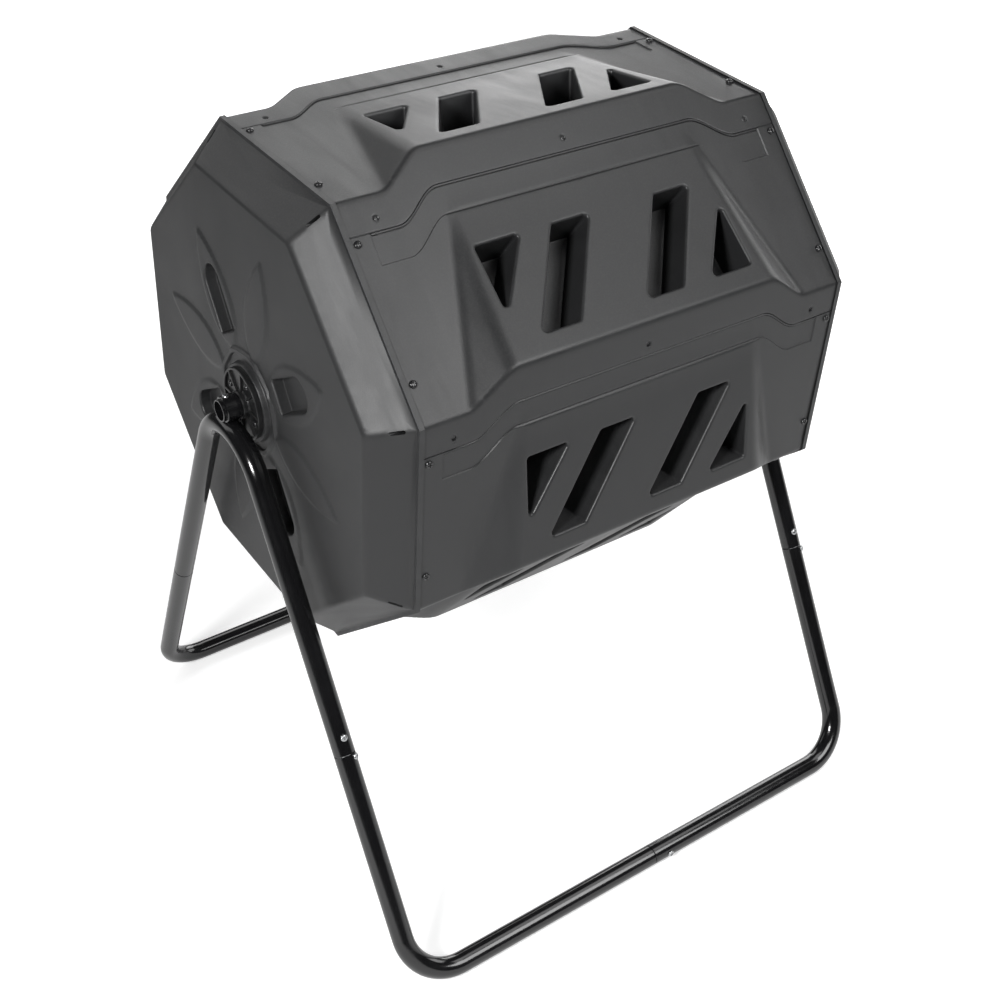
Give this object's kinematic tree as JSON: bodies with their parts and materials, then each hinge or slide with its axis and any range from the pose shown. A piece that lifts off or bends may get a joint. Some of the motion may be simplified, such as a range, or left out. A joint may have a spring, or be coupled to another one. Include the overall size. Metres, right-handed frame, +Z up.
{
  "type": "compost tumbler",
  "caption": "Compost drum with a divided inside, sliding doors and moulded mixing wedges, turning on an axle between bent-tube legs.",
  "frame": {"origin": "on the floor, under the middle of the drum", "axes": "+X along the drum's axle, +Y across the stand towards the rear, where the doors are, +Z up"},
  "size_m": [0.726, 0.7266, 0.9179],
  "materials": {
    "panel_plastic": "charcoal moulded plastic, fine satin grain",
    "cap_plastic": "charcoal moulded plastic, fine satin grain",
    "door_plastic": "charcoal moulded plastic, satin",
    "divider_plastic": "charcoal moulded plastic, unpolished",
    "hub_plastic": "black moulded plastic, satin",
    "stand_tube": "gloss black powder coat",
    "axle_tube": "gloss black powder coat, worn at the ends",
    "coupler_steel": "plain drawn steel",
    "bright_screw": "bright zinc plate",
    "black_screw": "black oxide"
  },
  "bodies": {
    "stand": {"apex_tube_left": "stand_tube", "apex_tube_right": "stand_tube", "axle_sleeve_left": "stand_tube", "axle_sleeve_right": "stand_tube", "axle": "axle_tube", "corner_tube_front_left": "stand_tube", "corner_tube_front_right": "stand_tube", "corner_tube_rear_left": "stand_tube", "corner_tube_rear_right": "stand_tube", "leg_coupler_front_left": "coupler_steel", "leg_coupler_front_right": "coupler_steel", "leg_coupler_rear_left": "coupler_steel", "leg_coupler_rear_right": "coupler_steel", "leg_screws": "bright_screw", "bar_screws": "bright_screw", "axle_screws": "bright_screw"},
    "drum": {"panel_top": "panel_plastic", "panel_upper_front": "panel_plastic", "panel_front": "panel_plastic", "panel_lower_front": "panel_plastic", "panel_bottom": "panel_plastic", "panel_lower_rear": "panel_plastic", "panel_rear": "panel_plastic", "door_panel": "panel_plastic", "end_cap_left": "cap_plastic", "end_cap_right": "cap_plastic", "divider": "divider_plastic", "hub_left": "hub_plastic", "hub_right": "hub_plastic", "hub_screws": "black_screw", "cap_screws": "black_screw", "seam_screws": "black_screw", "divider_screws": "black_screw"},
    "door_left": {"door_left": "door_plastic"},
    "door_right": {"door_right": "door_plastic"}
  },
  "joints": [
    {"name": "drum_spin", "type": "hinge", "parent": "stand", "child": "drum", "pos_m": [0, 0, 0.622], "axis": [1, 0, 0], "continuous": true},
    {"name": "door_left_slide", "type": "slide", "parent": "drum", "child": "door_left", "axis": [-1, 0, 0], "range_m": [0, 0.1227]},
    {"name": "door_right_slide", "type": "slide", "parent": "drum", "child": "door_right", "axis": [1, 0, 0], "range_m": [0, 0.1227]}
  ]
}
